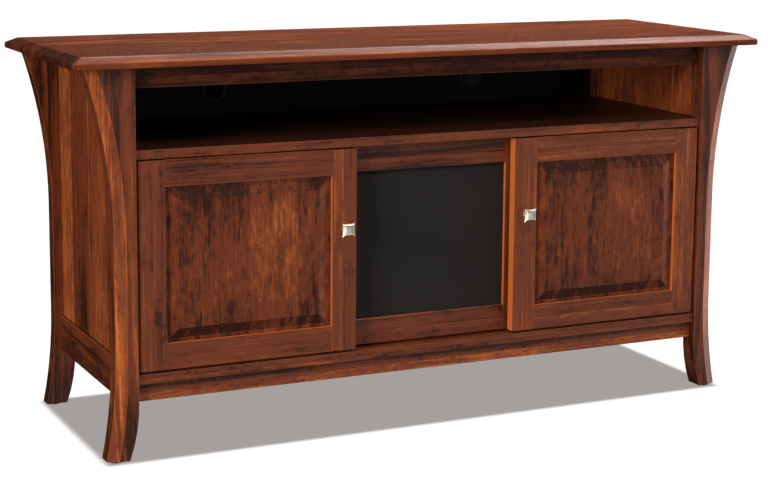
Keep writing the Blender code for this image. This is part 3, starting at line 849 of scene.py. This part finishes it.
def make_knob(side):
    low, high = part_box(f"door_{side}_knob")
    centre = Vector(((low.x + high.x) / 2, high.y, (low.z + high.z) / 2))
    bm = bmesh.new()
    stitch(bm, [knob_ring(centre, *section) for section in KNOB_SECTIONS])
    piece = mesh_piece(f"knob_{side}", bm, NICKEL, f"{side}_door")
    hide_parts(f"door_{side}_knob")


for side in ("left", "right"):
    make_knob(side)


CLOTH_CELLS = (60, 50)
CLOTH_THICKNESS = 0.0007


def make_cloth():
    """One sheet stretched over the ring of bars and into the grooves of the frame."""
    low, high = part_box("door_centre_cloth")
    width, height = high.x - low.x, high.z - low.z
    columns, rows = CLOTH_CELLS
    bm = bmesh.new()
    front = (low.y + high.y) / 2
    grid = [
        [
            bm.verts.new((low.x + width * i / columns, front, low.z + height * j / rows))
            for i in range(columns + 1)
        ]
        for j in range(rows + 1)
    ]
    for j in range(rows):
        for i in range(columns):
            bm.faces.new((grid[j][i], grid[j][i + 1], grid[j + 1][i + 1], grid[j + 1][i]))
    cloth = mesh_piece("acoustic_cloth", bm, CLOTH, "centre_door")
    solid = cloth.modifiers.new("thickness", "SOLIDIFY")
    solid.thickness = CLOTH_THICKNESS
    solid.offset = 0
    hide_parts("door_centre_cloth")


make_cloth()


# Trim of the carcass: cable port grommets with brushes, shelf pins and back panel screws
ROUND_STEPS = 40
SMALL_STEPS = 24
BACK_FRONT, BACK_REAR = (corner.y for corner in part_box("bay_back"))

# Ports: name, and the place of the middle
PORTS = [
    ("bay_left", -0.330, 0.690),
    ("bay_right", 0.330, 0.690),
    ("lower_left", -0.440, 0.300),
    ("lower_centre", 0.0, 0.300),
    ("lower_right", 0.440, 0.300),
]
PORT_RADIUS = 0.025

# Grommets: the gaps that they leave in the port and at the panel, the flange, its lip and the wall
PORT_GAP = 0.0002
PANEL_GAP = 0.0001
FLANGE_WIDTH = 0.0045
FLANGE_EDGE = 0.0006
LIP_HEIGHT = 0.0016
LIP_SLOPE = 0.0010
LIP_CHAMFER = 0.0008
GROMMET_WALL = 0.0030

# Bristles: how deep they stand in the grommet's wall, the depth of each row in the panel, their
# spacing and width, and how far a tip leans and reaches past the middle
BRISTLE_ROOT = 0.0004
BRISTLE_ROWS = (0.0016, 0.0030, 0.0044)
BRISTLE_PITCH = 0.0008
BRISTLE_WIDTH = 0.0010
BRISTLE_LEAN = 0.0003
BRISTLE_OVERLAP = (-0.0022, -0.0004)

# Shelf pins: distance from the wall and radius, and where the pins stand under the shelf
PIN_PROFILE = [
    (0.0, 0.0042),
    (0.0010, 0.0042),
    (0.0014, 0.0038),
    (0.0014, 0.0025),
    (0.0084, 0.0025),
    (0.009, 0.0019),
]
PIN_INSET = 0.040
PIN_DROP = 0.0044

# Back screws: distance from the panel, radius and depth of the cross recess, then their places
SCREW_PROFILE = [
    (0.0001, 0.0030, 0.0),
    (0.0008, 0.0029, 0.0),
    (0.0014, 0.0023, 0.0),
    (0.0016, 0.0016, 0.0),
    (0.0016, 0.0010, 0.45),
    (0.0008, 0.0007, 0.45),
]
BACK_SCREW_XS = (-0.62, -0.40, -0.16, 0.16, 0.40, 0.62)
BACK_SCREW_HEIGHTS = (0.26, 0.39, 0.52)
DIVIDER_SCREW_INSET = 0.009


def circle(centre, radius, axis, steps=ROUND_STEPS, lobes=0.0):
    """Points round an axis. lobes pulls the circle in between four lobes."""
    first, second = (other for other in (X, Y, Z) if other != axis)
    ring = []
    for step in range(steps):
        angle = math.tau * step / steps
        reach = radius * (1 + lobes * math.cos(4 * angle))
        point = Vector(centre)
        point[first] += reach * math.cos(angle)
        point[second] += reach * math.sin(angle)
        ring.append(point)
    return ring


def make_grommet(name, x, z):
    """A ring with a flange on each side of the back panel."""
    flange, lip = PORT_RADIUS + FLANGE_WIDTH, LIP_HEIGHT
    outer, inner = PORT_RADIUS - PORT_GAP, PORT_RADIUS - GROMMET_WALL
    profile = [
        (BACK_FRONT - lip, inner + LIP_CHAMFER),
        (BACK_FRONT - lip, flange - LIP_SLOPE),
        (BACK_FRONT - FLANGE_EDGE, flange),
        (BACK_FRONT - PANEL_GAP, flange),
        (BACK_FRONT - PANEL_GAP, outer),
        (BACK_REAR + PANEL_GAP, outer),
        (BACK_REAR + PANEL_GAP, flange),
        (BACK_REAR + FLANGE_EDGE, flange),
        (BACK_REAR + lip, flange - LIP_SLOPE),
        (BACK_REAR + lip, inner + LIP_CHAMFER),
        (BACK_REAR + lip - LIP_CHAMFER, inner),
        (BACK_FRONT - lip + LIP_CHAMFER, inner),
    ]
    bm = bmesh.new()
    rings = [circle((x, y, z), radius, Y) for y, radius in profile]
    stitch(bm, rings + rings[:1], caps=False)
    bmesh.ops.remove_doubles(bm, verts=bm.verts, dist=MERGE_DISTANCE)
    mesh_piece(f"grommet_{name}", bm, BLACK_PLASTIC, "carcass")


def make_brush(name, x, z, seed):
    """Bristles from the top and the bottom of the ring that meet in the middle, in three rows."""
    random.seed(seed)
    reach = PORT_RADIUS - (GROMMET_WALL - BRISTLE_ROOT)
    half = BRISTLE_WIDTH / 2
    section = ((-half, 0), (0, -half), (half, 0), (0, half))
    bm = bmesh.new()
    for row, depth in enumerate(BRISTLE_ROWS):
        y = BACK_FRONT + depth
        for i in range(1, int(2 * reach / BRISTLE_PITCH)):
            offset = -reach + (i + 0.5 * row) * BRISTLE_PITCH
            length = math.sqrt(max(reach**2 - offset**2, 0.0))
            for side in (-1, 1):
                tip = side * random.uniform(*BRISTLE_OVERLAP)
                lean = random.uniform(-BRISTLE_LEAN, BRISTLE_LEAN)
                ends = ((offset, side * length), (offset + lean, tip))
                rings = [
                    [Vector((x + across + dx, y + dy, z + up)) for dx, dy in section]
                    for across, up in ends
                ]
                stitch(bm, rings)
    mesh_piece(f"brush_{name}", bm, BRISTLES, "carcass", smooth=False)


def make_shelf_pins():
    """Four collared steel pins under each loose shelf, standing out of the walls beside it."""
    bm = bmesh.new()
    for which, walls in (
        ("left", ("side_panel_left", "divider_left")),
        ("centre", ("divider_left", "divider_right")),
        ("right", ("divider_right", "side_panel_right")),
    ):
        low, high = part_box(f"loose_shelf_{which}")
        starts = (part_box(walls[0])[1].x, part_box(walls[1])[0].x)
        for wall, inward in zip(starts, (1, -1)):
            for y in (low.y + PIN_INSET, high.y - PIN_INSET):
                rings = [
                    circle((wall + inward * offset, y, low.z - PIN_DROP), radius, X, SMALL_STEPS)
                    for offset, radius in PIN_PROFILE
                ]
                stitch(bm, rings)
    mesh_piece("shelf_pins", bm, ZINC, "carcass")


def make_back_screws():
    """Pan-head screws that hold the two back panels to the rails, the bay shelf and the dividers."""
    top_rail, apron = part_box("rear_top_rail"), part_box("rear_apron")
    shelf, bay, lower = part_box("bay_shelf"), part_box("bay_back"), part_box("lower_back")
    dividers = [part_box(f"divider_{side}")[0].x + DIVIDER_SCREW_INSET for side in ("left", "right")]
    rows = [
        ((top_rail[0].z + top_rail[1].z) / 2, BACK_SCREW_XS),
        ((bay[0].z + shelf[1].z) / 2, BACK_SCREW_XS),
        ((lower[1].z + shelf[0].z) / 2, BACK_SCREW_XS),
        ((lower[0].z + apron[1].z) / 2, BACK_SCREW_XS),
        *((height, dividers) for height in BACK_SCREW_HEIGHTS),
    ]
    bm = bmesh.new()
    for z, xs in rows:
        for x in xs:
            rings = [
                circle((x, BACK_REAR + offset, z), radius, Y, SMALL_STEPS, lobes)
                for offset, radius, lobes in SCREW_PROFILE
            ]
            stitch(bm, rings)
    mesh_piece("back_panel_screws", bm, ZINC, "carcass")


for seed, (name, x, z) in enumerate(PORTS):
    make_grommet(name, x, z)
    make_brush(name, x, z, seed)
make_shelf_pins()
make_back_screws()


# ---------------------------------------------------------------- studio
def add_lamp(name, data, direction):
    lamp = bpy.data.objects.new(name, data)
    lamp.rotation_euler = Vector(direction).to_track_quat("-Z", "Y").to_euler()
    bpy.context.scene.collection.objects.link(lamp)
    return lamp


def add_sun(name, direction, strength, angle):
    data = bpy.data.lights.new(name, "SUN")
    data.energy = strength
    data.angle = angle
    add_lamp(name, data, direction)


def add_area(name, place, aim, size, power, colour=(1.0, 1.0, 1.0), lights=True, shines=True):
    """A soft box. It may only light the surfaces, or only shine in their gloss."""
    data = bpy.data.lights.new(name, "AREA")
    data.shape = "RECTANGLE"
    data.size, data.size_y = size
    data.energy = power
    data.color = colour
    lamp = add_lamp(name, data, Vector(aim) - Vector(place))
    lamp.location = place
    lamp.visible_diffuse = lights
    lamp.visible_glossy = shines


def make_floor():
    """A floor that only the camera sees, so that it throws no light on the cabinet."""
    bm = bmesh.new()
    corners = ((-1, -1), (1, -1), (1, 1), (-1, 1))
    bm.faces.new([bm.verts.new((x * FLOOR_REACH, y * FLOOR_REACH, 0.0)) for x, y in corners])
    mesh = bpy.data.meshes.new("floor")
    bm.to_mesh(mesh)
    bm.free()
    mesh.materials.append(floor_material("studio_floor"))
    floor = bpy.data.objects.new("floor", mesh)
    bpy.context.scene.collection.objects.link(floor)
    floor.visible_glossy = False
    floor.visible_diffuse = False


def make_world():
    """White to the eye. For light, a dim room with pale cards where a studio hangs them."""
    world = bpy.data.worlds.new("studio")
    world.use_nodes = True
    bpy.context.scene.world = world
    g = Graph(world.node_tree)
    way = g.add("ShaderNodeTexCoord").outputs["Generated"]
    light = ROOM_LIGHT
    for middle, start, full, strength in CARDS:
        facing = g.vector("DOT_PRODUCT", way, Vector(middle).normalized())[1]
        light = g.math("ADD", light, g.between(facing, start, full, 0.0, strength))
    room = g.add("ShaderNodeBackground", {0: (1, 1, 1, 1), 1: light})
    seen = g.add("ShaderNodeBackground", {0: (1, 1, 1, 1), 1: 1.0})
    eye = g.add("ShaderNodeLightPath").outputs["Is Camera Ray"]
    both = g.add("ShaderNodeMixShader", {0: eye, 1: room.outputs[0], 2: seen.outputs[0]})
    g.add("ShaderNodeOutputWorld", {0: both.outputs[0]})


def make_camera():
    data = bpy.data.cameras.new("camera")
    data.lens = CAMERA_LENS_MM
    data.sensor_width = CAMERA_SENSOR_MM
    data.shift_y = CAMERA_SHIFT_Y
    camera = bpy.data.objects.new("camera", data)
    turn = Matrix.Rotation(-CAMERA_YAW, 4, "Z") @ Matrix.Rotation(math.pi / 2 - CAMERA_PITCH, 4, "X")
    camera.matrix_world = Matrix.Translation(CAMERA_PLACE) @ turn @ Matrix.Rotation(CAMERA_ROLL, 4, "Z")
    bpy.context.scene.collection.objects.link(camera)
    bpy.context.scene.camera = camera


make_floor()
make_world()
make_camera()

# top_right lights the right of the top and never shines in it. bevel_strip and knob_card are
# seen only in the gloss of the front bevel and of the knobs.
add_sun("top_light", direction=(0.06, 0.03, -1.0), strength=0.15, angle=math.radians(12))
add_area(
    "top_right",
    place=(1.2, 0.9, 2.1),
    aim=(0.45, 0.0, 0.82),
    size=(1.4, 1.0),
    power=32.0,
    colour=(1.0, 0.95, 0.90),
    shines=False,
)
add_area(
    "bevel_strip",
    place=(1.25, 1.55, 2.8),
    aim=(0.0, -0.26, 0.82),
    size=(3.0, 0.5),
    power=60.0,
    lights=False,
)
add_area(
    "knob_card",
    place=(1.1, -0.9, 3.2),
    aim=(0.0, -0.26, 0.5),
    size=(1.4, 0.8),
    power=8.0,
    lights=False,
)
add_area(
    "key_left",
    place=(-6.0, -3.0, 1.7),
    aim=(-0.3, 0.0, 0.45),
    size=(2.6, 3.0),
    power=350.0,
    colour=(1.0, 0.96, 0.91),
)
add_area(
    "front_fill",
    place=(0.3, -2.4, 3.3),
    aim=(0.0, 0.0, 0.5),
    size=(3.2, 0.9),
    power=50.0,
    colour=(1.0, 0.97, 0.94),
)
bpy.context.scene.view_settings.view_transform = "Standard"
bpy.context.scene.view_settings.look = "None"
